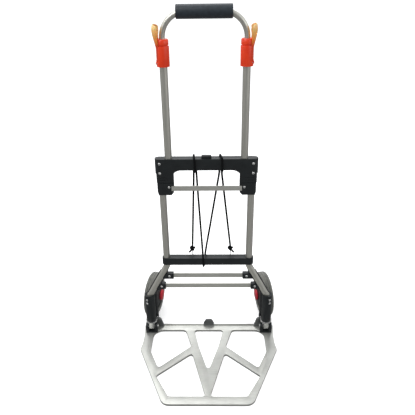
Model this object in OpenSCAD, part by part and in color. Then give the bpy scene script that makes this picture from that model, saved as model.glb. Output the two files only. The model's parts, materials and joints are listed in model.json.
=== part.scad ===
// Folding two-wheeled hand truck: a telescopic aluminium frame with a folding toe plate,
// wheels on swinging arms that fold with the plate, and an elastic tie cord.
// Millimetres. +Z is up, +X is to the right seen from the plate's side, -Y is the plate's side.
// The origin is on the ground below the middle of the whole truck.

/* [Handle] */
// Height of the grip's middle with the handle pushed in
grip_z = 1092; // [1060:1:1120]
// Length of the foam grip
grip_length = 151; // [130:1:170]
// Radius of the foam grip
grip_radius = 18.5; // [14:0.5:22]
// Radius of the handle tube
handle_radius = 8; // [6:0.5:8]
// Bend radius of the handle tube, to its centre line
handle_bend = 65; // [50:1:80]

/* [Upper frame] */
// Distance from the middle to each upper tube
upper_x = 115; // [110:1:120]
// Radius of the upper and lower tubes
tube_radius = 11; // [10:0.5:11]
// Wall of the tubes
tube_wall = 1.5; // [1:0.1:2]
// Top of the upper tubes
upper_top = 1001; // [980:1:1004]
// Radius of the handle clamps
clamp_radius = 18; // [17:0.5:20]

/* [Lower frame] */
// Distance from the middle to each lower tube
lower_x = 138; // [138:1:145]
// Top face of the crossbar
crossbar_top = 682; // [660:1:700]
// Height of the crossbar in the middle
crossbar_height = 36; // [30:1:40]
// Depth of the crossbar from front to back
crossbar_depth = 27; // [26:1:32]
// Top face of the lower bar
bar_top = 328; // [320:1:340]
// Height of the lower bar
bar_height = 26; // [20:1:30]
// Height at which the lower tubes begin to flare outward
flare_z = 302; // [296:1:302]
// Angle of the flare
flare_angle = 28; // [26:1:30]
// Bend radius of the lower tubes, to the centre line
flare_bend = 32; // [30:1:36]
// Length of the straight between the two bends
flare_slope = 131; // [128:1:134]

/* [Wheels] */
// Radius of the wheels
wheel_radius = 84; // [80:1:88]
// Width of the tyres
tyre_width = 32; // [28:1:34]
// Angle by which each wheel points outward at the front
toe_angle = 12; // [0:1:15]
// Length of each wheel arm, from its pivot to the wheel's axle
arm_length = 84; // [82:1:90]

/* [Toe plate] */
// Thickness of the toe plate
plate_thickness = 8; // [6:0.5:10]
// Reach of the toe plate in front of the tubes
plate_front = 331; // [300:1:340]
// Reach of the toe plate behind the tubes
plate_rear = 27; // [24:1:30]

/* [Cord] */
// Radius of the elastic cord
cord_radius = 3.2; // [2.5:0.1:3.2]

/* [Hidden] */
$fn = 64;

// Clearances: a running fit between round parts, and a gap between parts that only pass
fit = 0.08;
gap = 0.5;

// Colours
satin = "#a8a8a0";
black = "#23282b";
slate = "#2b3540";
red = "#e2452a";
amber = "#f2a24a";
steel = "#c9c9c6";
bright = "#d6d8d6";
rubber = "#55585a";

// Levels of the frame
crossbar_bottom = crossbar_top - crossbar_height;
crossbar_end = 157;
leg_bottom = 604;
leg_inner = 102;
slider_top = leg_bottom - gap;
slider_bottom = 564;
slider_end = 152;
slider_inner = 102;
slider_half = crossbar_depth / 2 + 1.2;
rail_bottom = 579;
rail_top = 595;
bar_end = 153;
bar_depth = 26;

// Where the flare's straight begins and where it ends in the upright at the foot
slope_x = lower_x + flare_bend * (1 - cos(flare_angle));
slope_z = flare_z - flare_bend * sin(flare_angle);
foot_x = slope_x + flare_slope * sin(flare_angle) + flare_bend * (1 - cos(flare_angle));
upright_top = slope_z - flare_slope * cos(flare_angle) - flare_bend * sin(flare_angle);

// Tie bars: height of the middle and the bracket's reach towards the middle
tie_z = [252, 209];
tie_inner = [118, 147];
tie_height = 16;
bracket_height = 21;
tie_thick = 4;
bracket_half = 8;

// Knuckle and the wheel arm's pivot
knuckle_radius = 17.5;
knuckle_bottom = 57;
knuckle_top = 172;
pivot_x = foot_x - 14;
pivot_y = 26;
barrel_radius = 9;
barrel_bottom = 62.5;
barrel_top = 159.5;
lug_radius = 10;
lug_low = [51, barrel_bottom - gap];
lug_high = [barrel_top + gap, 176];
arm_pin_radius = 4;

// Wheel, measured outward from the arm's pivot line
wheel_out = tyre_width + 0.2;
arm_near = 6;
arm_far = 14;
axle_radius = 6;
rim_radius = 62;
tyre_round = 7;
hub_radius = 22;

// Wheel reach behind the tubes, and the shift that puts the origin under the middle
wheel_y = pivot_y + wheel_out * sin(toe_angle) + arm_length * cos(toe_angle);
wheel_reach = wheel_y + (wheel_radius - tyre_round) * cos(toe_angle)
    + (tyre_width / 2 - tyre_round) * sin(toe_angle) + tyre_round;
frame_y = (plate_front - wheel_reach) / 2;

// Toe plate hinge
hinge_y = -3;
hinge_z = 30;
hinge_pin_radius = 5;
tongue_half = 8;
tongue_round = 11;
clevis_half = 21;
clevis_slot = 11;
clevis_round = 13;

// Clamp and lever
clamp_bottom = 952;
clamp_neck = 1006;
neck_radius = 14.8;
collar_bottom = 1009;
collar_top = 1024;
collar_radius = 17;
lever_pivot = [upper_x + 16, 962];
lever_barrel = 4;
lever_barrel_half = 8;
lug_half = 10.5;
lever_pin_radius = 1.5;

// Handle tube
handle_bottom = 700;
handle_bend_z = grip_z - handle_bend;
handle_bend_x = upper_x - handle_bend;

// Release button and latches inside the crossbar
cavity_end = 99;
cavity_bottom = 650;
cavity_top = 678;
cavity_back = 10.5;
button_half = 15;
button_depth = 7;
button_top = 690;
button_bottom = 668;
latch_radius = 3.5;
latch_z = 656;
latch_inner = 18;
latch_outer = 103.5;

// Elastic cord: up from the left hook, round the crossbar, round the lower bar,
// round the crossbar again and down to the right hook
cord_route = [
    [-51, 14, 357], [-46, 14, 479], [-41, 14, 600], [-40, 16, 634], [-39.7, 17.2, 648],
    [-39, 17.2, 682], [-38.8, 16.2, 684.7], [-38.5, 13.5, 686], [-36.7, -13.5, 686],
    [-36.4, -16.2, 684.7], [-36, -17.2, 682], [-35, -17.2, 646], [-34.8, -16.2, 643.3],
    [-34.5, -13.5, 642], [-33, 0, 640.5], [-32, 9, 636], [-31.5, 10, 628], [-29, 6.5, 577],
    [-22.5, -2, 460], [-16.5, -8.8, 350], [-15.3, -16.6, 330], [-14.5, -16.7, 302],
    [-14.2, -15.6, 299.4], [-13.8, -13, 298.2], [-10.2, 13, 298.2], [-9.8, 15.6, 299.4],
    [-9.5, 16.7, 302], [-9, 16.7, 328], [11, 15.9, 452], [31, 15, 577], [39, 16, 628],
    [40, 17.2, 648], [41, 17.2, 682], [41.4, 16.2, 684.7], [42, 13.5, 686], [46.6, -13.5, 686],
    [47.2, -16.2, 684.7], [47.6, -17.2, 682], [48, -17.2, 646], [47.8, -16.2, 643.3],
    [47.6, -13.5, 642], [47, 0, 640.5], [46.5, 9, 636], [47, 11.5, 626], [61.5, 12.7, 491],
    [76, 14, 357]
];
cord_sides = 8;
hook_radius = 1.2;
hook_bend = 4;
hook_x = [-51, 76];
hook_top = 355;
hook_y = bar_depth / 2 + hook_radius + 0.2;

// ---- Shared helpers ----

// Everything is drawn with the tubes in the plane y = 0 and then moved into the part's frame
module place() {
    translate([0, frame_y, 0]) children();
}

// side is 1 for the right half and -1 for its mirror image
module sided(side) {
    mirror([side < 0 ? 1 : 0, 0, 0]) children();
}

module both_sides() {
    for (side = [-1, 1]) sided(side) children();
}

// Extrude a shape drawn in x and z along y
module along_y(y0, y1) {
    translate([0, y1, 0]) rotate([90, 0, 0]) linear_extrude(y1 - y0) children();
}

module rod_x(x0, x1, r) {
    translate([x0, 0, 0]) rotate([0, 90, 0]) cylinder(h = x1 - x0, r = r);
}

module rod_y(y0, y1, r) {
    translate([0, y1, 0]) rotate([90, 0, 0]) cylinder(h = y1 - y0, r = r);
}

// A bend in the plane y = 0: centre, centre-line radius, start angle, sweep, tube radius
module bend(x, z, bend_r, start, sweep, r) {
    translate([x, 0, z]) rotate([90, 0, 0]) rotate([0, 0, start])
        rotate_extrude(angle = sweep) translate([bend_r, 0]) circle(r);
}

// Corner points [x, y, radius] to an outline whose corners are arcs
function unit(v) = v / norm(v);
function short_turn(d) = d > 180 ? d - 360 : d < -180 ? d + 360 : d;
function corner(a, p, b, r, n = 6) =
    let (u = unit([a.x - p.x, a.y - p.y]), v = unit([b.x - p.x, b.y - p.y]),
         half = acos(u * v) / 2, c = [p.x, p.y] + unit(u + v) * r / sin(half),
         s = [p.x, p.y] + u * r / tan(half) - c, e = [p.x, p.y] + v * r / tan(half) - c,
         start = atan2(s.y, s.x), turn = short_turn(atan2(e.y, e.x) - start))
    [for (k = [0:n]) c + r * [cos(start + turn * k / n), sin(start + turn * k / n)]];
function rounded(pts) =
    [for (i = [0:len(pts) - 1])
        each corner(pts[(i + len(pts) - 1) % len(pts)], pts[i], pts[(i + 1) % len(pts)], pts[i][2])];
function flipped(pts) = [for (p = pts) [-p.x, p.y, p[2]]];

// ---- Lower frame ----

// The lower tube's line: down, out along the flare and down again. Each stretch is drawn
// from the end of the one above it.
module lower_path(r, top, bottom) {
    translate([lower_x, 0, flare_z]) {
        cylinder(h = top - flare_z, r = r);
        translate([flare_bend, 0, 0]) rotate([90, 0, 0]) rotate([0, 0, 180]) {
            rotate_extrude(angle = flare_angle) translate([flare_bend, 0]) circle(r);
            rotate([0, 0, flare_angle]) translate([flare_bend, 0, 0]) rotate([-90, 0, 0]) {
                cylinder(h = flare_slope, r = r);
                translate([0, 0, flare_slope]) rotate([90, 0, 0]) translate([flare_bend, 0, 0])
                    rotate([0, 0, 180 - flare_angle]) {
                        rotate_extrude(angle = flare_angle) translate([flare_bend, 0]) circle(r);
                        translate([flare_bend, 0, 0]) rotate([90, 0, 0])
                            cylinder(h = upright_top - bottom, r = r);
                    }
            }
        }
    }
}

// A frame at the top of the flare's straight, with z pointing down along it
module on_slope() {
    translate([slope_x, 0, slope_z]) rotate([0, 180 - flare_angle, 0]) children();
}

module lower_tube(side) {
    color(satin) place() sided(side) difference() {
        lower_path(tube_radius, crossbar_top - 4, knuckle_bottom);
        lower_path(tube_radius - tube_wall, crossbar_top, knuckle_bottom - 1);
    }
}

module arch_opening() {
    corner_r = 30;
    straight = 78;
    arch_z = crossbar_bottom - corner_r;
    intersection() {
        translate([-leg_inner, leg_bottom - 1]) square([2 * leg_inner, 60]);
        union() {
            translate([-straight, leg_bottom - 1]) square([2 * straight, crossbar_bottom - leg_bottom + 1]);
            translate([-leg_inner, leg_bottom - 1]) square([2 * leg_inner, arch_z - leg_bottom + 1]);
            for (side = [-1, 1]) translate([side * straight, arch_z]) circle(corner_r);
        }
    }
}

module crossbar_outline() {
    step_z = 634;
    difference() {
        union() {
            translate([-crossbar_end, step_z]) square([2 * crossbar_end, crossbar_top - step_z]);
            translate([3 - crossbar_end, leg_bottom]) square([2 * crossbar_end - 6, step_z - leg_bottom]);
        }
        arch_opening();
    }
}

module crossbar() {
    half = crossbar_depth / 2;
    color(black) place() difference() {
        intersection() {
            along_y(-half, half) crossbar_outline();
            translate([0, 0, leg_bottom - 1]) linear_extrude(crossbar_top - leg_bottom + 2) union() {
                square([2 * (crossbar_end - half), crossbar_depth], center = true);
                for (side = [-1, 1]) translate([side * (crossbar_end - half), 0]) circle(half);
            }
        }
        both_sides() {
            translate([lower_x, 0, leg_bottom - 1])
                cylinder(h = crossbar_top - 4 - leg_bottom + 1, r = tube_radius);
            translate([upper_x, 0, leg_bottom - 1])
                cylinder(h = crossbar_top - leg_bottom + 2, r = tube_radius + fit);
            translate([0, 0, latch_z]) rod_x(cavity_end - 1, upper_x, latch_radius + fit);
            for (z = [613, 621]) translate([118, -half - 1, z]) cube([28, 2, 1.6]);
        }
        translate([-cavity_end, -9.5, cavity_bottom])
            cube([2 * cavity_end, half + 10, cavity_top - cavity_bottom]);
        translate([-button_half - gap, -button_depth - gap, cavity_top - 1])
            cube([2 * (button_half + gap), 2 * (button_depth + gap), crossbar_top - cavity_top + 2]);
    }
}

module crossbar_cover() {
    color(black) place() translate([-cavity_end, cavity_back, cavity_bottom])
        cube([2 * cavity_end, crossbar_depth / 2 - cavity_back, cavity_top - cavity_bottom]);
}

module lower_bar() {
    half = bar_depth / 2;
    color(black) place() translate([0, 0, bar_top - bar_height]) difference() {
        linear_extrude(bar_height) union() {
            square([2 * (bar_end - half), bar_depth], center = true);
            for (side = [-1, 1]) translate([side * (bar_end - half), 0]) circle(half);
        }
        both_sides() translate([lower_x, 0, -1]) cylinder(h = bar_height + 2, r = tube_radius);
    }
}

// One flat tie bar, its ends held in the leg rails' brackets
module tie_bar(i) {
    half = tie_inner[i] + 12;
    color(satin) place() translate([-half, -tie_thick / 2, tie_z[i] - tie_height / 2])
        cube([2 * half, tie_thick, tie_height]);
}

// The moulding behind the flared tube, with the two brackets for the tie bars
module leg_rail(side) {
    color(black) place() sided(side) difference() {
        union() {
            intersection() {
                on_slope() cylinder(h = flare_slope, r = tube_radius + 2);
                translate([0, -3, 181]) cube([300, 30, 91]);
            }
            for (i = [0, 1])
                translate([tie_inner[i], -bracket_half, tie_z[i] - bracket_height / 2])
                    cube([36, 2 * bracket_half, bracket_height]);
        }
        on_slope() translate([0, 0, -30]) cylinder(h = flare_slope + 60, r = tube_radius);
        for (i = [0, 1])
            translate([0, -tie_thick / 2, tie_z[i] - tie_height / 2])
                cube([tie_inner[i] + 12, tie_thick, tie_height]);
    }
}

module knuckle(side) {
    mouth_radius = tube_radius + 1.7;
    elbow_z = upright_top + flare_bend * tan(flare_angle / 2);
    color(black) place() sided(side) difference() {
        union() {
            translate([foot_x, 0, knuckle_bottom])
                cylinder(h = knuckle_top - knuckle_bottom, r = knuckle_radius);
            for (z = [lug_low, lug_high]) pivot_lug(z[0], z[1]);
        }
        translate([foot_x, 0, knuckle_bottom - 20]) cylinder(h = 200, r = tube_radius);
        // The mouth, wider than the tube, which bends inside it
        translate([foot_x, 0, upright_top]) cylinder(h = elbow_z - upright_top + 2, r = mouth_radius);
        translate([foot_x, 0, elbow_z]) rotate([0, -flare_angle, 0]) translate([0, 0, -2])
            cylinder(h = 60, r = mouth_radius);
        translate([foot_x, 0, 0]) cylinder(h = knuckle_bottom, r = 30);
        translate([pivot_x, pivot_y, 0]) cylinder(h = 300, r = arm_pin_radius);
    }
}

// A lug that reaches back from the sleeve to the arm's pivot
module pivot_lug(z0, z1) {
    reach = [pivot_x - foot_x, pivot_y];
    translate([pivot_x, pivot_y, z0]) cylinder(h = z1 - z0, r = lug_radius);
    translate([foot_x, 0, z0]) rotate([0, 0, atan2(reach.y, reach.x)])
        translate([0, -lug_radius, 0]) cube([norm(reach), 2 * lug_radius, z1 - z0]);
}

// The metal end piece below the sleeve: a collar and the tongue on the plate's hinge pin
module foot(side) {
    collar = 5;
    color(steel) place() sided(side) difference() {
        union() {
            translate([foot_x, 0, knuckle_bottom - collar]) cylinder(h = collar, r = 20);
            translate([0, hinge_y, hinge_z])
                rod_x(foot_x - tongue_half, foot_x + tongue_half, tongue_round);
            translate([foot_x - tongue_half, hinge_y - tongue_round, hinge_z])
                cube([2 * tongue_half, 2 * tongue_round, knuckle_bottom - 1 - hinge_z]);
        }
        translate([0, hinge_y, hinge_z]) rod_x(foot_x - 20, foot_x + 20, hinge_pin_radius + 0.05);
        translate([pivot_x, pivot_y, 0]) cylinder(h = 100, r = lug_radius + gap);
        translate([foot_x, 0, knuckle_bottom - collar - 1]) rotate([0, 0, atan2(pivot_y, pivot_x - foot_x)])
            translate([0, -lug_radius, 0]) cube([60, 2 * lug_radius, 20]);
    }
}

module arm_pins() {
    color(steel) place() both_sides() translate([pivot_x, pivot_y, lug_low[0]])
        cylinder(h = lug_high[1] - lug_low[0] + 2, r = arm_pin_radius);
}

module rivet_head() {
    rotate([90, 0, 0]) cylinder(h = 1.8, r1 = 4.5, r2 = 3);
}

module frame_rivets() {
    color(steel) place() both_sides() {
        for (z = [636, 667]) translate([142, -crossbar_depth / 2, z]) rivet_head();
        for (i = [0, 1]) translate([tie_inner[i] + 14, -bracket_half, tie_z[i]]) rivet_head();
        for (z = [141, 155])
            translate([foot_x, 0, z]) rotate([0, 0, 27])
                translate([0, -knuckle_radius, 0]) rivet_head();
    }
}

// ---- Upper frame ----

module upper_tube(side) {
    color(satin) place() sided(side) translate([upper_x, 0, slider_bottom + 8]) difference() {
        cylinder(h = upper_top - slider_bottom - 8, r = tube_radius);
        translate([0, 0, -1]) cylinder(h = upper_top, r = tube_radius - tube_wall);
    }
}

module slider(side) {
    color(black) place() sided(side) difference() {
        along_y(-slider_half, slider_half) polygon([
            [slider_inner, slider_top], [slider_end, slider_top], [slider_end, slider_bottom + 12],
            [slider_end - 3, slider_bottom], [slider_inner + 7, slider_bottom],
            [slider_inner, slider_bottom + 9]
        ]);
        translate([lower_x, 0, 0]) cylinder(h = 700, r = tube_radius + fit);
        translate([upper_x, 0, slider_bottom + 8]) cylinder(h = 100, r = tube_radius);
        slider_rail_box();
    }
}

module slider_rail_box() {
    end = 108.5;
    translate([-end, -slider_half - 1.3, rail_bottom]) cube([2 * end, 3.5, rail_top - rail_bottom]);
}

module slider_rail() {
    color(satin) place() slider_rail_box();
}

module slider_rivets() {
    color(steel) place() both_sides() translate([116, -slider_half, 590]) rivet_head();
}

// The lever's shell: a ring sector around the tube that flares outward above the clamp
module lever_shell() {
    profile = [
        [15.3, 958], [18, 958], [18, 1000], [20.5, 1012], [23, 1022], [25.4, 1032], [27.2, 1043],
        [27.4, 1050], [26.6, 1057], [25, 1061.5], [23.6, 1061], [24.4, 1055], [24.8, 1048],
        [24.4, 1042], [22.8, 1033], [20.4, 1023], [17.5, 1009], [15.3, 1003]
    ];
    translate([upper_x, 0, 0]) rotate([0, 0, -80]) rotate_extrude(angle = 160) polygon(profile);
}

module lever_window() {
    translate([upper_x, 0, 0]) rotate([90, 0, 90]) linear_extrude(40) union() {
        polygon([[-14, 967], [14, 967], [14, 1007], [18, 1028], [22, 1042], [22, 1052], [-22, 1052],
            [-22, 1042], [-18, 1028], [-14, 1007]]);
        translate([-14, 1034]) square([28, 28]);
        for (side = [-1, 1]) translate([side * 14, 1052]) circle(8);
    }
}

module lever(side) {
    color(amber) place() sided(side) difference() {
        union() {
            intersection() {
                lever_shell();
                lever_window();
            }
            translate([lever_pivot.x, 0, lever_pivot.y])
                rod_y(-lever_barrel_half, lever_barrel_half, lever_barrel);
            translate([lever_pivot.x - 0.7, -lever_barrel_half, lever_pivot.y])
                cube([2.7, 2 * lever_barrel_half, 8]);
        }
        translate([lever_pivot.x, 0, lever_pivot.y]) rod_y(-20, 20, lever_pin_radius + 0.05);
    }
}

module clamp(side) {
    recess_half = 14.4;
    color(red) place() sided(side) difference() {
        union() {
            translate([upper_x, 0, clamp_bottom]) cylinder(h = clamp_neck - clamp_bottom, r = clamp_radius);
            translate([upper_x, 0, clamp_neck]) cylinder(h = collar_bottom - clamp_neck, r = neck_radius);
            translate([upper_x, 0, collar_bottom])
                cylinder(h = collar_top - collar_bottom - 3, r = collar_radius);
            translate([upper_x, 0, collar_top - 3]) cylinder(h = 3, r1 = collar_radius, r2 = collar_radius - 2);
            translate([lever_pivot.x, 0, lever_pivot.y]) rod_y(-lug_half, lug_half, 3.6);
        }
        // Recess for the lever's strip
        difference() {
            translate([upper_x, -recess_half, lever_pivot.y + 4.3]) cube([40, 2 * recess_half, 60]);
            translate([upper_x, 0, 0]) cylinder(h = clamp_neck + 30, r = 15);
            translate([0, -30, clamp_neck]) cube([200, 60, 60]);
        }
        // Room for the lever's barrel
        translate([lever_pivot.x, 0, lever_pivot.y])
            rod_y(-lever_barrel_half - 0.3, lever_barrel_half + 0.3, lever_barrel + 0.4);
        translate([lever_pivot.x - 1, -lever_barrel_half - 0.3, lever_pivot.y])
            cube([20, 2 * lever_barrel_half + 0.6, 10]);
        translate([lever_pivot.x, 0, lever_pivot.y]) rod_y(-20, 20, lever_pin_radius);
        translate([upper_x, 0, clamp_bottom - 1]) cylinder(h = upper_top - clamp_bottom + 1, r = tube_radius);
        translate([upper_x, 0, clamp_bottom]) cylinder(h = 100, r = handle_radius + fit);
    }
}

module clamp_pins() {
    color(steel) place() both_sides() translate([lever_pivot.x, 0, lever_pivot.y])
        rod_y(-lug_half, lug_half, lever_pin_radius);
}

// ---- Handle ----

module handle_path(r, bottom) {
    translate([-handle_bend_x, 0, grip_z]) rod_x(0, 2 * handle_bend_x, r);
    both_sides() {
        bend(handle_bend_x, handle_bend_z, handle_bend, 0, 90, r);
        translate([upper_x, 0, bottom]) cylinder(h = handle_bend_z - bottom, r = r);
    }
}

module handle_tube() {
    color(satin) place() difference() {
        handle_path(handle_radius, handle_bottom);
        handle_path(handle_radius - 1.2, handle_bottom - 1);
    }
}

module grip() {
    color(slate) place() difference() {
        translate([0, 0, grip_z]) rod_x(-grip_length / 2, grip_length / 2, grip_radius);
        handle_path(handle_radius, handle_bend_z - 20);
    }
}

// Bushes at the lower ends of the handle tube, running inside the upper tubes
module handle_plugs() {
    color(black) place() both_sides() translate([upper_x, 0, handle_bottom - 6]) {
        cylinder(h = 6, r = tube_radius - tube_wall - 0.06);
        cylinder(h = 30, r = handle_radius - 1.2);
    }
}

// ---- Release mechanism ----

module release_button() {
    color(black) place() translate([-button_half, -button_depth, button_bottom])
        cube([2 * button_half, 2 * button_depth, button_top - button_bottom]);
}

module latch(side) {
    color(steel) place() sided(side) translate([0, 0, latch_z]) rod_x(latch_inner, latch_outer, latch_radius);
}

// ---- Toe plate ----

plate_outline = [
    [237, plate_rear, 6], [232, -30, 30], [233, -68, 30], [238, -98, 8],
    [139, -plate_front, 30], [-139, -plate_front, 30],
    [-238, -98, 8], [-233, -68, 30], [-232, -30, 30], [-237, plate_rear, 6]
];
rear_opening = [[-200, -1, 34], [-84, -1, 14], [-60, -84, 9], [-167, -185, 8], [-201, -108, 8]];
middle_opening = [[-53, -1, 9], [53, -1, 9], [34, -88, 60], [0, -202, 7], [-34, -88, 60]];
front_opening = [[-56, -116, 8], [-7, -301, 8], [-124, -301, 8], [-171, -218, 8]];
lobe_outline = [[164, 4, 0.5], [197, 4, 0.5], [197, 40, 8], [186, 48, 8], [176, 42, 8]];
tab_outline = [[-20, 4, 0.5], [20, 4, 0.5], [19, 20, 6], [10, 37, 8], [-10, 37, 8], [-19, 20, 6]];

module toe_plate() {
    color(bright) place() {
        difference() {
            linear_extrude(plate_thickness) difference() {
                polygon(rounded(plate_outline));
                polygon(rounded(middle_opening));
                for (opening = [rear_opening, front_opening]) {
                    polygon(rounded(opening));
                    polygon(rounded(flipped(opening)));
                }
            }
        }
        translate([-165, plate_rear - 3, 0]) cube([330, 3, plate_thickness + 5]);
        both_sides() along_y(plate_rear - 10, plate_rear) polygon(rounded(lobe_outline));
        along_y(plate_rear - 5, plate_rear) polygon(rounded(tab_outline));
    }
}

// The hinge block on the plate, open in the middle for the tongue
module clevis(side) {
    front = hinge_y - clevis_round;
    color(black) place() sided(side) difference() {
        union() {
            translate([foot_x - clevis_half, front, plate_thickness])
                cube([2 * clevis_half, 2 * clevis_round, hinge_z - plate_thickness]);
            translate([0, hinge_y, hinge_z])
                rod_x(foot_x - clevis_half, foot_x + clevis_half, clevis_round);
        }
        translate([foot_x - clevis_slot, front - 1, plate_thickness + 4])
            cube([2 * clevis_slot, 2 * clevis_round + 2, 60]);
        translate([0, hinge_y, hinge_z]) rod_x(foot_x - 30, foot_x + 30, hinge_pin_radius);
    }
}

module plate_pins() {
    color(steel) place() both_sides() translate([0, hinge_y, hinge_z]) {
        rod_x(foot_x - clevis_half, foot_x + clevis_half, hinge_pin_radius);
        rod_x(foot_x - clevis_half - 3, foot_x - clevis_half, 7);
    }
}

// ---- Wheels ----

// Inside this, x runs outward from the arm's pivot line, y back along the arm, and z up
module on_arm(side) {
    place() sided(side) translate([pivot_x, pivot_y, 0]) rotate([0, 0, toe_angle]) children();
}

module wheel_arm(side) {
    color(black) on_arm(side) difference() {
        union() {
            translate([0, 0, barrel_bottom]) cylinder(h = barrel_top - barrel_bottom, r = barrel_radius);
            translate([arm_near, 0, 0]) rotate([90, 0, 90]) linear_extrude(arm_far - arm_near) union() {
                polygon([[0, 70], [0, 150], [24, 146], [60, 122], [96, 102], [104, 84], [84, 63], [30, 63]]);
                translate([arm_length, wheel_radius]) circle(21);
            }
            translate([0, -5, 70]) cube([arm_near + 1, 14, 80]);
        }
        cylinder(h = 300, r = arm_pin_radius + 0.05);
        translate([0, arm_length, wheel_radius]) rod_x(-1, 60, axle_radius);
    }
}

module axle(side) {
    color(steel) on_arm(side) translate([0, arm_length, wheel_radius])
        rod_x(arm_near, wheel_out + tyre_width / 2, axle_radius);
}

module axle_cap(side) {
    color(red) on_arm(side) translate([0, arm_length, wheel_radius]) {
        rod_x(arm_near - 4, arm_near, 20);
        translate([arm_near - 6, 0, 0]) rotate([0, 90, 0]) cylinder(h = 2, r1 = 17, r2 = 20);
    }
}

// Profiles are drawn with x as the radius and y as the offset from the wheel's middle
module turned_on_axle(side) {
    on_arm(side) translate([wheel_out, arm_length, wheel_radius]) rotate([0, 90, 0])
        rotate_extrude() children();
}

module tyre(side) {
    half = tyre_width / 2;
    color(rubber) turned_on_axle(side) union() {
        translate([rim_radius, -half]) square([wheel_radius - rim_radius - tyre_round, tyre_width]);
        translate([rim_radius, tyre_round - half])
            square([wheel_radius - rim_radius, tyre_width - 2 * tyre_round]);
        for (end = [-1, 1])
            translate([wheel_radius - tyre_round, end * (half - tyre_round)]) circle(tyre_round);
    }
}

module rim(side) {
    half = tyre_width / 2;
    holes = 6;
    color(black) difference() {
        turned_on_axle(side) union() {
            translate([rim_radius - 8, 3 - half]) square([8, tyre_width - 6]);
            translate([hub_radius - 1, -4]) square([rim_radius - hub_radius - 6, 8]);
            translate([axle_radius + 0.05, 0.8 - half]) square([hub_radius - axle_radius, tyre_width - 0.8]);
        }
        on_arm(side) translate([0, arm_length, wheel_radius])
            for (i = [0:holes - 1]) rotate([i * 360 / holes, 0, 0]) translate([0, 0, 38]) rod_x(10, 60, 9);
    }
}

module hub_cap(side) {
    color(red) on_arm(side) translate([wheel_out + tyre_width / 2, arm_length, wheel_radius]) {
        rod_x(0, 3, hub_radius);
        translate([3, 0, 0]) rotate([0, 90, 0]) cylinder(h = 3, r1 = hub_radius, r2 = 16);
    }
}

// ---- Cord ----

// A tube swept along the route: each ring stands square to the line through its neighbours
function heading(i) =
    unit(cord_route[min(i + 1, len(cord_route) - 1)] - cord_route[max(i - 1, 0)]);
function cord_ring(i) =
    let (t = heading(i), u = unit(cross(t, [1, 0, 0])), w = cross(t, u))
    [for (k = [0:cord_sides - 1])
        cord_route[i] + cord_radius * (u * cos(360 * k / cord_sides) + w * sin(360 * k / cord_sides))];

module cord() {
    count = len(cord_route);
    n = cord_sides;
    points = [for (i = [0:count - 1]) each cord_ring(i)];
    walls = [for (i = [0:count - 2], k = [0:n - 1])
        each [[i * n + k, (i + 1) * n + k, i * n + (k + 1) % n],
              [(i + 1) * n + k, (i + 1) * n + (k + 1) % n, i * n + (k + 1) % n]]];
    first = [[for (k = [0:n - 1]) k]];
    last = [[for (k = [n - 1:-1:0]) (count - 1) * n + k]];
    color(black) place() polyhedron(points, concat(walls, first, last), convexity = 10);
}

// A wire hook that passes behind the lower bar and under it
module cord_hook(i) {
    low = bar_top - bar_height;
    color(steel) place() translate([hook_x[i], 0, 0]) {
        translate([0, hook_y, low + hook_bend - 2]) cylinder(h = hook_top - low - hook_bend + 2, r = hook_radius);
        translate([0, hook_y - hook_bend, low + hook_bend - 2]) rotate([0, -90, 0])
            rotate([0, 0, 90]) rotate_extrude(angle = 90) translate([hook_bend, 0]) circle(hook_radius);
        translate([0, 0, low - 2]) rod_y(-2, hook_y - hook_bend, hook_radius);
    }
}

lower_tube(-1);  // lower_tube_left
lower_tube(1);  // lower_tube_right
crossbar();
crossbar_cover();
lower_bar();
tie_bar(0);  // tie_bar_upper
tie_bar(1);  // tie_bar_lower
leg_rail(-1);  // leg_rail_left
leg_rail(1);  // leg_rail_right
knuckle(-1);  // knuckle_left
knuckle(1);  // knuckle_right
foot(-1);  // foot_left
foot(1);  // foot_right
arm_pins();
frame_rivets();
upper_tube(-1);  // upper_tube_left
upper_tube(1);  // upper_tube_right
slider(-1);  // slider_left
slider(1);  // slider_right
slider_rail();
slider_rivets();
clamp(-1);  // clamp_left
clamp(1);  // clamp_right
clamp_pins();
lever(-1);  // lever_left
lever(1);  // lever_right
handle_tube();
grip();
handle_plugs();
release_button();
latch(-1);  // latch_left
latch(1);  // latch_right
toe_plate();
clevis(-1);  // clevis_left
clevis(1);  // clevis_right
plate_pins();
wheel_arm(-1);  // wheel_arm_left
wheel_arm(1);  // wheel_arm_right
axle(-1);  // axle_left
axle(1);  // axle_right
axle_cap(-1);  // axle_cap_left
axle_cap(1);  // axle_cap_right
tyre(-1);  // tyre_left
tyre(1);  // tyre_right
rim(-1);  // rim_left
rim(1);  // rim_right
hub_cap(-1);  // hub_cap_left
hub_cap(1);  // hub_cap_right
cord();
cord_hook(0);  // cord_hook_left
cord_hook(1);  // cord_hook_right
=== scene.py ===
# %% [markdown]
# # A folding hand truck, finished in Blender
#
# The truck's frame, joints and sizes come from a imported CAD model, which is loaded as a fixed
# frame. This notebook gives it its looks: moulded edges, foam, rubber tread, a braided cord
# and a finish for every piece. Everything is in metres, in the CAD model's own frame.

# %% Load the CAD frame
import json
import math

import bmesh
import bpy
from mathutils import Matrix, Vector


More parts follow.
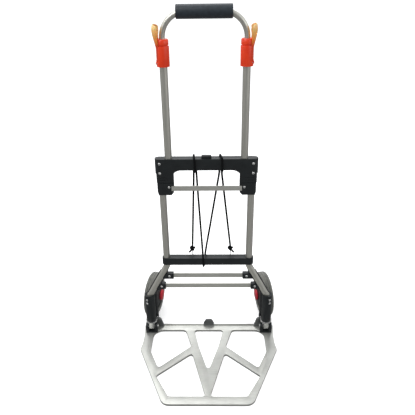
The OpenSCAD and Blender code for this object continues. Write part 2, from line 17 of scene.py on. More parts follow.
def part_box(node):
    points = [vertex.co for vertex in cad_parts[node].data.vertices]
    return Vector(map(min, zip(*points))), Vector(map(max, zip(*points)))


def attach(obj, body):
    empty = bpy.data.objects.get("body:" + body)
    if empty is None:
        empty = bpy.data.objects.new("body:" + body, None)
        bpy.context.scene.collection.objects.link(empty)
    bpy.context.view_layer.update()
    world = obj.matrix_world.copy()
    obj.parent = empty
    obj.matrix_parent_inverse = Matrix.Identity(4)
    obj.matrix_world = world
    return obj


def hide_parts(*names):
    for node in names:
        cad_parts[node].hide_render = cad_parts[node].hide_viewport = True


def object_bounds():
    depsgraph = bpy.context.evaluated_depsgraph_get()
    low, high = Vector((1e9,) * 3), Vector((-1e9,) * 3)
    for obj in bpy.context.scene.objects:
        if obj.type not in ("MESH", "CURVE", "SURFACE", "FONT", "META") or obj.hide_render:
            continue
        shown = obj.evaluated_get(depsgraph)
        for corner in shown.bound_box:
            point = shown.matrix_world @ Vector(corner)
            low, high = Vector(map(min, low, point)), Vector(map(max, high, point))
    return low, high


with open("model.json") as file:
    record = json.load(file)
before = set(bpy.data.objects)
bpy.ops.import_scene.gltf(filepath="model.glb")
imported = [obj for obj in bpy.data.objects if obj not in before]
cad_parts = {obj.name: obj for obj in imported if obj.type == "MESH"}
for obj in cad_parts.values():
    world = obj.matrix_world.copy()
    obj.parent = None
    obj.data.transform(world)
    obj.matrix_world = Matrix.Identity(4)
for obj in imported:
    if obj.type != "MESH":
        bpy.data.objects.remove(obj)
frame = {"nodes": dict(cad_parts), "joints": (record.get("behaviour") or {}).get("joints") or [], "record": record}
nodes = frame["nodes"]
cad_low, cad_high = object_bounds()
MM = 0.001
SIDES = ("left", "right")
print("CAD nodes:", len(nodes))

# %% [markdown]
# ## Places taken from the frame
#
# The tubes stand in one upright plane, and most pieces are centred on it, so its Y is the
# first number to read from the frame. A joint gives the middle and the axle of each wheel.

# %% Read the tubes' plane and the wheels' axles
def middle(node):
    low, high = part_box(node)
    return (low + high) / 2


tube_y = middle("upper_tube_left").y
joints = {joint["name"]: joint for joint in frame["joints"]}
print("the tubes' plane is at y =", round(tube_y, 4))

# %% [markdown]
# ## Camera and studio
#
# The truck is seen from the toe plate's side, from a little above its handle, so the camera
# stands in front of it and is pitched down. A long floor runs past the top of the view and
# makes the whole background, as a roll of white paper does in a studio.

# %% Place the camera
camera_data = bpy.data.cameras.new("camera")
camera = bpy.data.objects.new("camera", camera_data)
bpy.context.scene.collection.objects.link(camera)
camera_turn = math.radians(1.14)
camera_pitch = math.radians(27.28)
camera_roll = math.radians(-0.79)
camera.location = (0.028, -1.272, 1.203)
look = (Matrix.Rotation(camera_turn, 4, "Z") @ Matrix.Rotation(math.pi / 2 - camera_pitch, 4, "X")
        @ Matrix.Rotation(camera_roll, 4, "Z"))
camera.rotation_euler = look.to_euler()
camera_data.lens = 41.04
camera_data.sensor_width = 36
bpy.context.scene.camera = camera
bpy.context.scene.view_settings.view_transform = "Standard"
print("the camera is", round(tube_y - camera.location.y, 2), "m in front of the tubes")

# %% [markdown]
# ## Studio lights
#
# Three large soft lights: a key from above on the left, a weak fill on the right that lifts
# the shadows, and one from behind that draws a bright line along tubes and edges. A sun would
# be simpler, but its hard shadows don't suit a plain studio.

# %% Light the studio
def area_light(name, place, target, size, power):
    data = bpy.data.lights.new(name, "AREA")
    data.size = size
    data.energy = power
    light = bpy.data.objects.new(name, data)
    bpy.context.scene.collection.objects.link(light)
    light.location = place
    light.rotation_euler = (Vector(target) - Vector(place)).to_track_quat("-Z", "Y").to_euler()
    return light


half_way_up = (0, tube_y, cad_high.z / 2)
softbox = 1.8
area_light("key light", (-1.5, -1.2, 3.0), half_way_up, softbox, power=44)
area_light("fill light", (2.2, -1.6, 1.5), half_way_up, softbox, power=14)
area_light("back light", (-0.4, 1.4, 3.2), half_way_up, softbox, power=22)
print("lights:", len(bpy.data.lights))

# %% [markdown]
# ## Helpers for materials
#
# Colours are written as sRGB hex values, because that is how people compare them, and one
# function turns them to the linear numbers that the shader uses. One more function adds a
# node with its settings and links. A pattern's scale is worked out from a size in millimetres.

# %% Colour, node and scale helpers
def linear(code):
    parts = [int(code[i:i + 2], 16) / 255 for i in (1, 3, 5)]
    return [p / 12.92 if p < 0.04045 else ((p + 0.055) / 1.055) ** 2.4 for p in parts] + [1]


def add_node(tree, kind, inputs=None, stops=None, **settings):
    made = tree.nodes.new(kind)
    for name, value in settings.items():
        setattr(made, name, value)
    for name, value in (inputs or {}).items():
        if isinstance(value, bpy.types.NodeSocket):
            tree.links.new(value, made.inputs[name])
        else:
            made.inputs[name].default_value = value
    if stops:
        elements = made.color_ramp.elements
        while len(elements) < len(stops):
            elements.new(0.5)
        for element, (position, code) in zip(elements, stops):
            element.position = position
            element.color = linear(code)
    return made


def per_mm(size):
    """The scale at which one cell of a pattern measures size millimetres."""
    return 1000 / size


def new_material(name, **shader_inputs):
    """A material with one shader, and the Object coordinates that its patterns read."""
    material = bpy.data.materials.new(name)
    material.use_nodes = True
    tree = material.node_tree
    tree.nodes.clear()
    inputs = {key.replace("_", " "): value for key, value in shader_inputs.items()}
    shader = add_node(tree, "ShaderNodeBsdfPrincipled", inputs)
    add_node(tree, "ShaderNodeOutputMaterial", {"Surface": shader.outputs["BSDF"]})
    place = add_node(tree, "ShaderNodeTexCoord").outputs["Object"]
    return material, tree, shader, place


# %% [markdown]
# ## The room that the metal reflects
#
# Metal and gloss show what is round them. A studio for white backgrounds is bright overhead,
# behind and at the sides, and darker where the camera stands, so each tube gets two light
# edges and a darker middle. The world is that room: its brightness depends on direction. The
# backdrop itself, where the camera sees it past the floor, is plain white.

# %% Build the room
world = bpy.data.worlds.new("studio")
world.use_nodes = True
room = world.node_tree
room.nodes.clear()
direction = add_node(room, "ShaderNodeSeparateXYZ", {
    "Vector": add_node(room, "ShaderNodeTexCoord").outputs["Generated"]})
camera_side = add_node(room, "ShaderNodeMapRange", {
    "Value": direction.outputs["Y"], "From Min": -1.0, "From Max": -0.1,
    "To Min": 0.42, "To Max": 1.3}, interpolation_type="SMOOTHSTEP")
overhead = add_node(room, "ShaderNodeMapRange", {
    "Value": direction.outputs["Z"], "From Min": 0.0, "From Max": 1.0,
    "To Min": 0.95, "To Max": 0.75})
brightness = add_node(room, "ShaderNodeMath", {
    0: camera_side.outputs["Result"], 1: overhead.outputs["Result"]}, operation="MULTIPLY")
backdrop = add_node(room, "ShaderNodeMix", {
    "Factor": add_node(room, "ShaderNodeLightPath").outputs["Is Camera Ray"],
    "A": brightness.outputs["Value"], "B": 1.1})
background = add_node(room, "ShaderNodeBackground", {
    "Color": linear("#F8F9FB"), "Strength": backdrop.outputs["Result"]})
add_node(room, "ShaderNodeOutputWorld", {"Surface": background.outputs["Background"]})
bpy.context.scene.world = world
print("nodes that make the room:", len(room.nodes))

# %% [markdown]
# ## Satin anodised aluminium
#
# The tubes are extruded aluminium, etched and clear anodised. Drawing leaves faint streaks
# along each tube and the etch makes them soft and grey, so the streaks are noise stretched
# along Z, and they change the roughness more than the colour.

# %% Satin anodised aluminium for the tubes
def satin_anodised(name, streak_axis, light, dark):
    material, tree, shader, place = new_material(name, Metallic=0.9, Roughness=0.4)
    stretch = [1.0, 1.0, 1.0]
    stretch[streak_axis] = 0.02
    along = add_node(tree, "ShaderNodeMapping", {"Vector": place, "Scale": stretch})
    streaks = add_node(tree, "ShaderNodeTexNoise", {
        "Vector": along.outputs["Vector"], "Scale": per_mm(1.4), "Detail": 4.0})
    tone = add_node(tree, "ShaderNodeValToRGB", {"Fac": streaks.outputs["Fac"]},
                    stops=[(0.3, dark), (0.7, light)])
    dull = add_node(tree, "ShaderNodeMapRange", {
        "Value": streaks.outputs["Fac"], "From Min": 0.3, "From Max": 0.7,
        "To Min": 0.32, "To Max": 0.46})
    relief = add_node(tree, "ShaderNodeBump", {
        "Height": streaks.outputs["Fac"], "Strength": 0.12, "Distance": 0.1 * MM})
    tree.links.new(tone.outputs["Color"], shader.inputs["Base Color"])
    tree.links.new(dull.outputs["Result"], shader.inputs["Roughness"])
    tree.links.new(relief.outputs["Normal"], shader.inputs["Normal"])
    return material


upright_tube = satin_anodised("satin anodised aluminium, upright", 2, "#CBCAC2", "#BCBBB2")
level_strip = satin_anodised("satin anodised aluminium, level", 0, "#D6D6CF", "#C6C6BE")

# %% [markdown]
# ## Cast and brushed aluminium
#
# The toe plate is cast, then belt sanded across its width, which leaves a bright grey face
# with fine lines along X and slow cloudy changes from the casting.

# %% Brushed cast aluminium for the toe plate
def brushed_casting():
    material, tree, shader, place = new_material("brushed cast aluminium", Metallic=0.85)
    along = add_node(tree, "ShaderNodeMapping", {"Vector": place, "Scale": (0.03, 1.0, 1.0)})
    lines = add_node(tree, "ShaderNodeTexNoise", {
        "Vector": along.outputs["Vector"], "Scale": per_mm(1.6), "Detail": 5.0})
    clouds = add_node(tree, "ShaderNodeTexNoise", {
        "Vector": place, "Scale": per_mm(45), "Detail": 3.0})
    both = add_node(tree, "ShaderNodeMix", {
        "Factor": 0.45, "A": lines.outputs["Fac"], "B": clouds.outputs["Fac"]})
    tone = add_node(tree, "ShaderNodeValToRGB", {"Fac": both.outputs["Result"]},
                    stops=[(0.3, "#B2B3AE"), (0.5, "#C3C4BF"), (0.7, "#D0D1CC")])
    dull = add_node(tree, "ShaderNodeMapRange", {
        "Value": lines.outputs["Fac"], "From Min": 0.3, "From Max": 0.7,
        "To Min": 0.30, "To Max": 0.48})
    relief = add_node(tree, "ShaderNodeBump", {
        "Height": lines.outputs["Fac"], "Strength": 0.2, "Distance": 0.15 * MM})
    tree.links.new(tone.outputs["Color"], shader.inputs["Base Color"])
    tree.links.new(dull.outputs["Result"], shader.inputs["Roughness"])
    tree.links.new(relief.outputs["Normal"], shader.inputs["Normal"])
    return material


plate_metal = brushed_casting()

# %% [markdown]
# ## Moulded plastics
#
# The black blocks are glass-filled nylon from a spark-eroded mould, so they carry an even
# fine grain. The red clamps and caps come from a polished mould and shine more. One function
# makes both, with the grain's size, depth and colours as its inputs.

# %% Moulded nylon, grained and polished
def moulded_plastic(name, light, dark, grain_mm, depth_mm, smooth, rough, shine=0.5):
    material, tree, shader, place = new_material(name, IOR=1.53, Specular_IOR_Level=shine)
    grain = add_node(tree, "ShaderNodeTexNoise", {
        "Vector": place, "Scale": per_mm(grain_mm), "Detail": 3.0, "Roughness": 0.6})
    flow = add_node(tree, "ShaderNodeTexNoise", {
        "Vector": place, "Scale": per_mm(28), "Detail": 2.0})
    tone = add_node(tree, "ShaderNodeValToRGB", {"Fac": flow.outputs["Fac"]},
                    stops=[(0.35, dark), (0.65, light)])
    dull = add_node(tree, "ShaderNodeMapRange", {
        "Value": grain.outputs["Fac"], "From Min": 0.3, "From Max": 0.7,
        "To Min": smooth, "To Max": rough})
    relief = add_node(tree, "ShaderNodeBump", {
        "Height": grain.outputs["Fac"], "Strength": 0.35, "Distance": depth_mm * MM})
    tree.links.new(tone.outputs["Color"], shader.inputs["Base Color"])
    tree.links.new(dull.outputs["Result"], shader.inputs["Roughness"])
    tree.links.new(relief.outputs["Normal"], shader.inputs["Normal"])
    return material


black_nylon = moulded_plastic(
    "grained black nylon", "#151A1C", "#0F1416", grain_mm=0.9, depth_mm=0.12,
    smooth=0.36, rough=0.5, shine=0.4)
wheel_nylon = moulded_plastic(
    "black wheel nylon", "#1C1F21", "#141719", grain_mm=1.2, depth_mm=0.1,
    smooth=0.42, rough=0.6, shine=0.3)
red_nylon = moulded_plastic(
    "polished orange-red nylon", "#EE4218", "#E23610", grain_mm=2.5, depth_mm=0.05,
    smooth=0.3, rough=0.42, shine=0.4)
cap_nylon = moulded_plastic(
    "polished red nylon", "#D02536", "#B71A2B", grain_mm=2.5, depth_mm=0.05,
    smooth=0.25, rough=0.38, shine=0.4)

# %% [markdown]
# ## Amber lever plastic
#
# The clamp levers are a tinted, translucent plastic. Light that enters the thin flared tip
# comes out pale amber, and the thicker foot looks deep orange, so the colour is a ramp
# along the lever's height and some light passes through.

# %% Translucent amber for the levers
def translucent_amber():
    foot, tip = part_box("lever_left")
    material, tree, shader, place = new_material(
        "translucent amber plastic", Roughness=0.3, IOR=1.49, Transmission_Weight=0.12,
        Subsurface_Weight=0.35, Subsurface_Scale=0.006)
    height = add_node(tree, "ShaderNodeSeparateXYZ", {"Vector": place}).outputs["Z"]
    swirl = add_node(tree, "ShaderNodeTexNoise", {"Vector": place, "Scale": per_mm(16)})
    wavering = add_node(tree, "ShaderNodeMath", {
        0: swirl.outputs["Fac"], 1: 0.012, 2: height}, operation="MULTIPLY_ADD")
    share = add_node(tree, "ShaderNodeMapRange", {
        "Value": wavering.outputs["Value"], "From Min": foot.z, "From Max": tip.z})
    tone = add_node(tree, "ShaderNodeValToRGB", {"Fac": share.outputs["Result"]}, stops=[
        (0.52, "#EA4419"), (0.62, "#FA8A34"), (0.78, "#FFB85E"), (1.0, "#FFD38A")])
    tree.links.new(tone.outputs["Color"], shader.inputs["Base Color"])
    return material


lever_amber = translucent_amber()

# %% [markdown]
# ## Closed-cell foam
#
# The grip is foam rubber, extruded as a tube. Its skin is matte and full of small pores. A
# Voronoi pattern has just such cells, so it gives the relief, and its cells are drawn larger
# than real pores, which would be too fine to see.

# %% Closed-cell foam for the grip
def closed_cell_foam():
    material, tree, shader, place = new_material(
        "closed-cell foam", Roughness=0.5, Specular_IOR_Level=0.45,
        Sheen_Weight=0.08, Sheen_Roughness=0.4)
    pores = add_node(tree, "ShaderNodeTexVoronoi", {"Vector": place, "Scale": per_mm(1.5)})
    cloud = add_node(tree, "ShaderNodeTexNoise", {
        "Vector": place, "Scale": per_mm(9), "Detail": 4.0})
    tone = add_node(tree, "ShaderNodeValToRGB", {"Fac": cloud.outputs["Fac"]},
                    stops=[(0.35, "#1A2229"), (0.65, "#252E36")])
    relief = add_node(tree, "ShaderNodeBump", {
        "Height": pores.outputs["Distance"], "Strength": 0.5, "Distance": 0.25 * MM})
    tree.links.new(tone.outputs["Color"], shader.inputs["Base Color"])
    tree.links.new(relief.outputs["Normal"], shader.inputs["Normal"])
    return material


grip_foam = closed_cell_foam()


# %% [markdown]
# ## Solid rubber
#
# The tyres are moulded grey-black rubber, dull and dusty where the floor reaches them. The
# dust is a soft noise in the colour, and a little sheen lights the tread where it is seen at
# a low angle, as dust does.

# %% Solid rubber for the tyres
def tyre_rubber():
    material, tree, shader, place = new_material(
        "solid grey-black rubber", Roughness=0.62, Sheen_Weight=0.5, Sheen_Roughness=0.4)
    dust = add_node(tree, "ShaderNodeTexNoise", {
        "Vector": place, "Scale": per_mm(14), "Detail": 5.0, "Roughness": 0.65})
    speck = add_node(tree, "ShaderNodeTexNoise", {"Vector": place, "Scale": per_mm(1.1)})
    tone = add_node(tree, "ShaderNodeValToRGB", {"Fac": dust.outputs["Fac"]},
                    stops=[(0.3, "#565752"), (0.7, "#787871")])
    relief = add_node(tree, "ShaderNodeBump", {
        "Height": speck.outputs["Fac"], "Strength": 0.3, "Distance": 0.15 * MM})
    tree.links.new(tone.outputs["Color"], shader.inputs["Base Color"])
    tree.links.new(relief.outputs["Normal"], shader.inputs["Normal"])
    return material


rubber = tyre_rubber()


# %% [markdown]
# ## Zinc-plated steel
#
# Rivets, pins, tongues and wire are steel, barrel plated with zinc, which leaves a bright
# metal with small random scratches. A distorted noise changes the roughness from place to
# place, so the highlights break up as on real plating.

# %% Zinc-plated steel for rivets, pins and wire
def zinc_plate():
    material, tree, shader, place = new_material("zinc-plated steel", Metallic=1.0)
    scratches = add_node(tree, "ShaderNodeTexNoise", {
        "Vector": place, "Scale": per_mm(2.2), "Detail": 6.0, "Distortion": 1.5})
    tone = add_node(tree, "ShaderNodeValToRGB", {"Fac": scratches.outputs["Fac"]},
                    stops=[(0.3, "#B7B8B6"), (0.7, "#DADAD8")])
    dull = add_node(tree, "ShaderNodeMapRange", {
        "Value": scratches.outputs["Fac"], "From Min": 0.3, "From Max": 0.7,
        "To Min": 0.2, "To Max": 0.36})
    tree.links.new(tone.outputs["Color"], shader.inputs["Base Color"])
    tree.links.new(dull.outputs["Result"], shader.inputs["Roughness"])
    return material


steel = zinc_plate()

# %% [markdown]
# ## Braided elastic cord
#
# The tie cord is rubber strands in a braided nylon sleeve. The braid runs round the cord in
# two crossing sets of strands, so its pattern follows the cord's own UV map: U goes once
# round, and V counts diameters along.

# %% Braided sleeve
def braided_sleeve():
    material, tree, shader, _ = new_material(
        "black braided nylon", Roughness=0.85, Specular_IOR_Level=0.12)
    around = add_node(tree, "ShaderNodeUVMap", uv_map="cord").outputs["UV"]
    strands = []
    for lean in (1, -1):
        turned = add_node(tree, "ShaderNodeVectorMath", {
            0: around, 1: (6, 3 * lean, 0)}, operation="DOT_PRODUCT")
        wave = add_node(tree, "ShaderNodeMath", {
            0: turned.outputs["Value"], 1: math.tau}, operation="MULTIPLY")
        strands.append(add_node(tree, "ShaderNodeMath", {
            0: wave.outputs["Value"]}, operation="SINE").outputs["Value"])
    weave = add_node(tree, "ShaderNodeMath", {
        0: strands[0], 1: strands[1]}, operation="MULTIPLY")
    tone = add_node(tree, "ShaderNodeValToRGB", {"Fac": weave.outputs["Value"]},
                    stops=[(0.0, "#08090A"), (0.9, "#191B1D")])
    relief = add_node(tree, "ShaderNodeBump", {
        "Height": weave.outputs["Value"], "Strength": 0.6, "Distance": 0.3 * MM})
    tree.links.new(tone.outputs["Color"], shader.inputs["Base Color"])
    tree.links.new(relief.outputs["Normal"], shader.inputs["Normal"])
    return material


cord_braid = braided_sleeve()
print("materials so far:", len(bpy.data.materials))

# %% [markdown]
# ## Modelling by hand, in code
#
# The same few moves make every piece: take hold of one object, select some of its faces or
# edges by where they are, and run a modelling operator on them. These helpers keep that
# short, and they deselect everything first, because an operator acts on all that is selected.

# %% Selection and finishing helpers
def hold(piece):
    """Select this piece alone."""
    if bpy.context.object and bpy.context.object.mode != "OBJECT":
        bpy.ops.object.mode_set(mode="OBJECT")
    bpy.ops.object.select_all(action="DESELECT")
    piece.select_set(True)
    bpy.context.view_layer.objects.active = piece


def start_edit(piece, kind):
    """Open a piece in edit mode with nothing selected. kind is FACE, EDGE or VERT."""
    hold(piece)
    bpy.ops.object.mode_set(mode="EDIT")
    bpy.ops.mesh.select_mode(type=kind)
    bpy.ops.mesh.select_all(action="DESELECT")


def pick(piece, kind, wanted):
    """In edit mode, select just the faces or edges that wanted() accepts."""
    bpy.ops.mesh.select_all(action="DESELECT")
    shape = bmesh.from_edit_mesh(piece.data)
    for part in (shape.faces if kind == "FACE" else shape.edges):
        if wanted(part):
            part.select_set(True)
    shape.select_flush_mode()
    bmesh.update_edit_mesh(piece.data)


def end_edit():
    bpy.ops.object.mode_set(mode="OBJECT")


def edge_middle(edge):
    return (edge.verts[0].co + edge.verts[1].co) / 2


def settle(piece, name, material, body, slot, *replaced, smooth_angle=35):
    """Name a finished piece, put its place into its mesh, give it its finish, hang it on its body and hide the CAD
    nodes that it replaces.
    """
    hold(piece)
    piece.name = name
    piece.data.name = name
    bpy.ops.object.transform_apply(location=True, rotation=True, scale=True)
    bpy.ops.object.shade_smooth_by_angle(angle=math.radians(smooth_angle))
    piece.data.materials.clear()
    piece.data.materials.append(material)
    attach(piece, body)
    if replaced:
        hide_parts(*replaced)
    return piece


# %% [markdown]
# ## Rounded edges on the CAD pieces
#
# A moulded or cast part has no sharp edge: the mould's corners are rounded, and each rounded
# edge catches a thin line of light that shows the part's shape. The CAD blocks are already
# right in shape, so a copy of each is merged into one skin, its flat facets are dissolved,
# and its edges are bevelled.

# %% Round the edges of a copied CAD piece
body_of_node = {node: body for body, members in frame["record"]["behaviour"]["bodies"].items()
                for node in members}
slot_of_node = {part["node"]: part["material_slot"] for part in frame["record"]["subparts"]}


def rounded_copy(node, name, material, width_mm, sharp_angle=38, segments=3):
    piece = nodes[node].copy()
    piece.data = nodes[node].data.copy()
    piece.parent = None
    for key in [k for k in piece.keys() if k.startswith("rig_")]:
        del piece[key]
    bpy.context.scene.collection.objects.link(piece)
    start_edit(piece, "EDGE")
    bpy.ops.mesh.select_all(action="SELECT")
    bpy.ops.mesh.remove_doubles(threshold=0.01 * MM)
    bpy.ops.mesh.dissolve_limited(angle_limit=math.radians(1))
    end_edit()
    bevel = piece.modifiers.new("rounded edges", "BEVEL")
    bevel.width = width_mm * MM
    bevel.segments = segments
    bevel.limit_method = "ANGLE"
    bevel.angle_limit = math.radians(sharp_angle)
    bevel.use_clamp_overlap = True
    bevel.harden_normals = False
    hold(piece)
    bpy.ops.object.modifier_apply(modifier=bevel.name)
    return settle(piece, name, material, body_of_node[node], slot_of_node[node], node,
                  smooth_angle=50)


# Each pair's node, its finished piece, its finish and its edge width in millimetres
paired_pieces = (
    ("slider_", "slider_block_", black_nylon, 1.4),
    ("knuckle_", "knuckle_sleeve_", black_nylon, 1.2),
    ("leg_rail_", "leg_moulding_", black_nylon, 1.0),
    ("clevis_", "plate_hinge_block_", black_nylon, 1.4),
    ("wheel_arm_", "swing_arm_", black_nylon, 1.2),
    ("clamp_", "handle_clamp_", red_nylon, 0.9),
    ("lever_", "clamp_lever_", lever_amber, 0.7),
    ("foot_", "foot_tongue_", steel, 0.8),
    ("axle_cap_", "arm_cap_", cap_nylon, 0.8),
    ("hub_cap_", "wheel_cap_", cap_nylon, 0.8),
    ("rim_", "wheel_rim_", wheel_nylon, 0.9),
)
for side in SIDES:
    for node, name, material, width_mm in paired_pieces:
        rounded_copy(node + side, name + side, material, width_mm)
rounded_copy("crossbar", "crossbar_casting", black_nylon, 2.2)
rounded_copy("crossbar_cover", "crossbar_back_cover", black_nylon, 0.6)
rounded_copy("lower_bar", "lower_bar_casting", black_nylon, 2.0)
rounded_copy("release_button", "release_push_button", black_nylon, 1.8)
plate = rounded_copy("toe_plate", "toe_plate_casting", plate_metal, 1.3)
rounded_copy("frame_rivets", "frame_rivet_heads", steel, 0.7, segments=4)
rounded_copy("slider_rivets", "slider_rivet_heads", steel, 0.7, segments=4)
print("the plate's rounded copy has", len(plate.data.polygons), "faces")

# %% [markdown]
# ## The plate's rear lobes
#
# The lobes and the tab on the plate's rear edge are the same aluminium as the plate, but they stand in shade. A
# darker second material on those faces paints that shade in.

# %% Paint shade on the lobes and the tab
# A dark grey copy of the moulded finish, which is painted shade for the plate's upstanding lobes and tab.
painted_lobe_shade = moulded_plastic("aluminium with painted shade", "#5A5C5B", "#474948", 1.6, 0.2, 0.5, 0.65)
plate.data.materials.append(painted_lobe_shade)
lip_top = 14 * MM
# Every face above the rear lip gets the painted shade.
for face in plate.data.polygons:
    if face.center.z > lip_top:
        face.material_index = 1
print("faces with painted shade:", sum(face.material_index for face in plate.data.polygons))

# %% [markdown]
# ## Pieces that stay as they are
#
# Tubes, flat strips, pins and wire are cut from drawn stock, and the CAD model already has
# them right. They keep their own meshes and only get a finish.

# %% Give the remaining CAD nodes their finish
for material, members in (
        (upright_tube, ("lower_tube_left", "lower_tube_right", "upper_tube_left",
                        "upper_tube_right", "handle_tube")),
        (level_strip, ("tie_bar_upper", "tie_bar_lower", "slider_rail")),
        (steel, ("arm_pins", "clamp_pins", "latch_left", "latch_right", "plate_pins",
                 "axle_left", "axle_right", "cord_hook_left", "cord_hook_right")),
        (black_nylon, ("handle_plugs",))):
    for node in members:
        nodes[node].data.materials.clear()
        nodes[node].data.materials.append(material)
    print(material.name, "on", len(members), "nodes")

# %% [markdown]
# ## The foam grip
#
# The grip is a foam tube pushed over the handle. Its ends are cut square and soften a
# little, and the foam hugs the tube, so each end is inset and pressed in round the tube.

# %% Model the grip
grip_low, grip_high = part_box("grip")
grip_radius = (grip_high.z - grip_low.z) / 2
grip_length = grip_high.x - grip_low.x
handle_low, handle_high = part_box("handle_tube")
handle_radius = (handle_high.y - handle_low.y) / 2
pressed_in = 1.2 * MM
bpy.ops.object.select_all(action="DESELECT")
bpy.ops.mesh.primitive_cylinder_add(
    vertices=64, radius=grip_radius, depth=grip_length, location=middle("grip"),
    rotation=(0, math.pi / 2, 0))
grip = bpy.context.object
start_edit(grip, "FACE")
pick(grip, "FACE", lambda face: abs(face.normal.z) > 0.9)
bpy.ops.mesh.inset(thickness=grip_radius - handle_radius - pressed_in)
bpy.ops.mesh.inset(thickness=pressed_in, depth=-2.5 * MM, use_individual=True)
pick(grip, "EDGE", lambda edge: abs(edge_middle(edge).xy.length - grip_radius) < 0.1 * MM
     and abs(edge.verts[0].co.z - edge.verts[1].co.z) < 0.1 * MM)
bpy.ops.mesh.bevel(offset=2.2 * MM, segments=4, affect="EDGES")
end_edit()
settle(grip, "foam_grip", grip_foam, "handle", "grip_foam", "grip")
print("grip length in millimetres:", round(grip_length / MM))

# %% [markdown]
# ## The tyres
#
# Each tyre is a solid rubber ring with a flat tread and rounded shoulders. It starts as a
# cylinder whose ends are inset and bridged into a bore. The shoulders are bevelled, planes
# cut the tread into bands, and the narrow bands are pushed in as grooves.

# %% Model one tyre and place a copy on each axle
tyre_radius = (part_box("tyre_left")[1].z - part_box("tyre_left")[0].z) / 2
tyre_width = 32 * MM
rim_radius = 62 * MM
shoulder = 7 * MM
groove_at = 4.5 * MM
groove_half = 1.1 * MM
groove_depth = 2.2 * MM
bpy.ops.object.select_all(action="DESELECT")
bpy.ops.mesh.primitive_cylinder_add(vertices=120, radius=tyre_radius, depth=tyre_width)
tyre = bpy.context.object
start_edit(tyre, "FACE")
pick(tyre, "FACE", lambda face: abs(face.normal.z) > 0.9)
bpy.ops.mesh.inset(thickness=tyre_radius - rim_radius)
bpy.ops.mesh.bridge_edge_loops()
pick(tyre, "EDGE", lambda edge: abs(edge_middle(edge).xy.length - tyre_radius) < 0.1 * MM
     and abs(edge.verts[0].co.z - edge.verts[1].co.z) < 0.1 * MM)
bpy.ops.mesh.bevel(offset=shoulder, segments=6, affect="EDGES")
for centre in (-groove_at, groove_at):
    for shift in (-groove_half, groove_half):
        bpy.ops.mesh.select_all(action="SELECT")
        bpy.ops.mesh.bisect(plane_co=(0, 0, centre + shift), plane_no=(0, 0, 1))
pick(tyre, "FACE", lambda face: face.calc_center_median().xy.length > 0.95 * tyre_radius
     and abs(abs(face.calc_center_median().z) - groove_at) < 0.5 * MM)
bpy.ops.mesh.extrude_region_shrink_fatten(TRANSFORM_OT_shrink_fatten={"value": -groove_depth})
end_edit()


def on_axle(piece, side):
    """Turn a piece modelled round Z so that it sits on the wheel's axle."""
    spin = joints["wheel_" + side + "_spin"]
    turn = Vector(spin["axis"]).to_track_quat("Z", "Y").to_matrix().to_4x4()
    piece.matrix_world = Matrix.Translation(Vector(spin["pos_m"])) @ turn
    return piece


for side in SIDES:
    copy = tyre.copy()
    copy.data = tyre.data.copy()
    bpy.context.scene.collection.objects.link(copy)
    on_axle(copy, side)
    settle(copy, "solid_tyre_" + side, rubber, "wheel_" + side, "tyre", "tyre_" + side)
bpy.data.objects.remove(tyre)
print("tyre diameter in millimetres:", round(2 * tyre_radius / MM))

# %% [markdown]
# ## The elastic tie cord
#
# One cord runs from a knot at the left hook up round the crossbar, down round the lower bar,
# up round the crossbar again and down to the right hook. It is held taut, so its stretches
# are straight and it bends only over the bars. The route is the CAD cord's own list of
# points. A smooth line through them carries a round tube with its own UV map.

# %% The cord's route
route_mm = [
    (-51, 14, 357), (-46, 14, 479), (-41, 14, 600), (-40, 16, 634), (-39.7, 17.2, 648),
    (-39, 17.2, 682), (-38.8, 16.2, 684.7), (-38.5, 13.5, 686), (-36.7, -13.5, 686),
    (-36.4, -16.2, 684.7), (-36, -17.2, 682), (-35, -17.2, 646), (-34.8, -16.2, 643.3),
    (-34.5, -13.5, 642), (-33, 0, 640.5), (-32, 9, 636), (-31.5, 10, 628), (-29, 6.5, 577),
    (-22.5, -2, 460), (-16.5, -8.8, 350), (-15.3, -16.6, 330), (-14.5, -16.7, 302),
    (-14.2, -15.6, 299.4), (-13.8, -13, 298.2), (-10.2, 13, 298.2), (-9.8, 15.6, 299.4),
    (-9.5, 16.7, 302), (-9, 16.7, 328), (11, 15.9, 452), (31, 15, 577), (39, 16, 628),
    (40, 17.2, 648), (41, 17.2, 682), (41.4, 16.2, 684.7), (42, 13.5, 686), (46.6, -13.5, 686),
    (47.2, -16.2, 684.7), (47.6, -17.2, 682), (48, -17.2, 646), (47.8, -16.2, 643.3),
    (47.6, -13.5, 642), (47, 0, 640.5), (46.5, 9, 636), (47, 11.5, 626), (61.5, 12.7, 491),
    (76, 14, 357),
]
route = [Vector((x * MM, tube_y + y * MM, z * MM)) for x, y, z in route_mm]
cord_radius = 3.2 * MM


def smooth_line(points, steps):
    """A line through the points. It stays close to the straight stretches between them."""
    line = []
    for i in range(len(points) - 1):
        a, b = points[i], points[i + 1]
        before = points[max(i - 1, 0)]
        after = points[min(i + 2, len(points) - 1)]
        reach = (b - a).length
        leave = (b - before).normalized() * reach
        arrive = (after - a).normalized() * reach
        for k in range(steps):
            t = k / steps
            line.append((2 * t**3 - 3 * t**2 + 1) * a + (t**3 - 2 * t**2 + t) * leave
                        + (3 * t**2 - 2 * t**3) * b + (t**3 - t**2) * arrive)
    return line + [points[-1]]


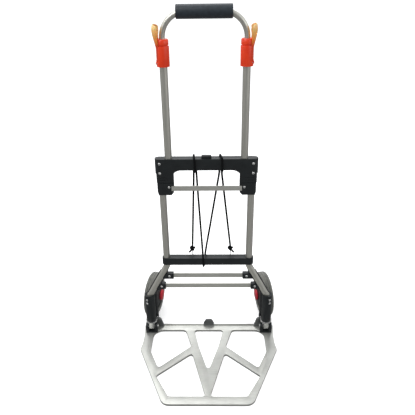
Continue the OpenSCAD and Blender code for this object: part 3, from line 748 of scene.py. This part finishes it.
def tube_along(name, line, radius, sides=14):
    """A closed round tube along a line, with U round it and V in diameters along it."""
    shape = bmesh.new()
    layer = shape.loops.layers.uv.new("cord")
    rings = []
    travelled = [0.0]
    across = Vector((0, 1, 0))
    for i, point in enumerate(line):
        ahead = (line[min(i + 1, len(line) - 1)] - line[max(i - 1, 0)]).normalized()
        across = (across - across.dot(ahead) * ahead).normalized()
        other = ahead.cross(across)
        rings.append([shape.verts.new(point + radius * (math.cos(a) * across + math.sin(a) * other))
                      for a in (math.tau * k / sides for k in range(sides))])
        if i:
            travelled.append(travelled[-1] + (point - line[i - 1]).length / (2 * radius))
    for i in range(len(line) - 1):
        for k in range(sides):
            n = (k + 1) % sides
            face = shape.faces.new((rings[i][k], rings[i][n], rings[i + 1][n], rings[i + 1][k]))
            corners = ((k, i), (k + 1, i), (k + 1, i + 1), (k, i + 1))
            for loop, (u, v) in zip(face.loops, corners):
                loop[layer].uv = (u / sides, travelled[v])
    shape.faces.new(reversed(rings[0]))
    shape.faces.new(rings[-1])
    bmesh.ops.recalc_face_normals(shape, faces=shape.faces)
    mesh = bpy.data.meshes.new(name)
    shape.to_mesh(mesh)
    shape.free()
    piece = bpy.data.objects.new(name, mesh)
    bpy.context.scene.collection.objects.link(piece)
    return piece


cord_line = smooth_line(route, 5)
cord = tube_along("tie_cord", cord_line, cord_radius)
settle(cord, "tie_cord", cord_braid, "frame", "cord", "cord")

# %% [markdown]
# ## Knots at the cord's ends
#
# Each end is tied through its wire hook with an overhand knot that leaves a short tail. A
# pulled-tight overhand knot is a small trefoil, and a trefoil is one formula, so the knot is
# a tube along that curve. The tail leans outward below it.

# %% Tie the knots
def trefoil(centre, size, steps=72):
    line = []
    for k in range(steps + 1):
        t = math.tau * k / steps
        line.append(centre + size * Vector((
            math.sin(t) + 2 * math.sin(2 * t), 0.9 * math.sin(3 * t),
            math.cos(t) - 2 * math.cos(2 * t))))
    return line


knot_size = 2.4 * MM
knot_strand = 3.0 * MM
knot_drop = Vector((0, 0, 5 * MM))
knots = []
for side, end, outward in (("left", route[0], -1), ("right", route[-1], 1)):
    knot = tube_along("cord_knot_" + side, trefoil(end - knot_drop, knot_size),
                      knot_strand, sides=10)
    settle(knot, "cord_knot_" + side, cord_braid, "frame", "cord")
    tail_route = [end + Vector((outward * x * MM, -y * MM, -z * MM))
                  for x, y, z in ((0, 0, 4), (3, 2, 9), (7, 3, 14), (11, 3, 19))]
    tail = tube_along("cord_tail_" + side, smooth_line(tail_route, 5), cord_radius, sides=12)
    settle(tail, "cord_tail_" + side, cord_braid, "frame", "cord")
    knots += [knot, tail]

# %% [markdown]
# ## The floor
#
# A wide pale floor that the truck stands on. It isn't part of the object. A floor that glows
# white would light the truck from below and wash out its blacks, so what falls on the truck
# from it is the light of a grey card, as when a studio flags the floor.

# %% Lay the floor
bpy.ops.object.select_all(action="DESELECT")
bpy.ops.mesh.primitive_plane_add(size=80, location=(0, 0, -0.2 * MM))
floor = bpy.context.object
floor.name = "floor"
paper, paper_tree, white, _ = new_material(
    "white studio paper", Base_Color=linear("#F7F7F7"), Roughness=0.95, Specular_IOR_Level=0.0,
    Emission_Color=linear("#FFFFFF"), Emission_Strength=0.4)
card = add_node(paper_tree, "ShaderNodeBsdfDiffuse", {"Color": linear("#8A8A8A")})
seen = add_node(paper_tree, "ShaderNodeLightPath").outputs["Is Camera Ray"]
either = add_node(paper_tree, "ShaderNodeMixShader", {
    0: seen, 1: card.outputs["BSDF"], 2: white.outputs["BSDF"]})
paper_out = next(n for n in paper_tree.nodes if n.type == "OUTPUT_MATERIAL")
paper_tree.links.new(either.outputs["Shader"], paper_out.inputs["Surface"])
floor.data.materials.append(paper)
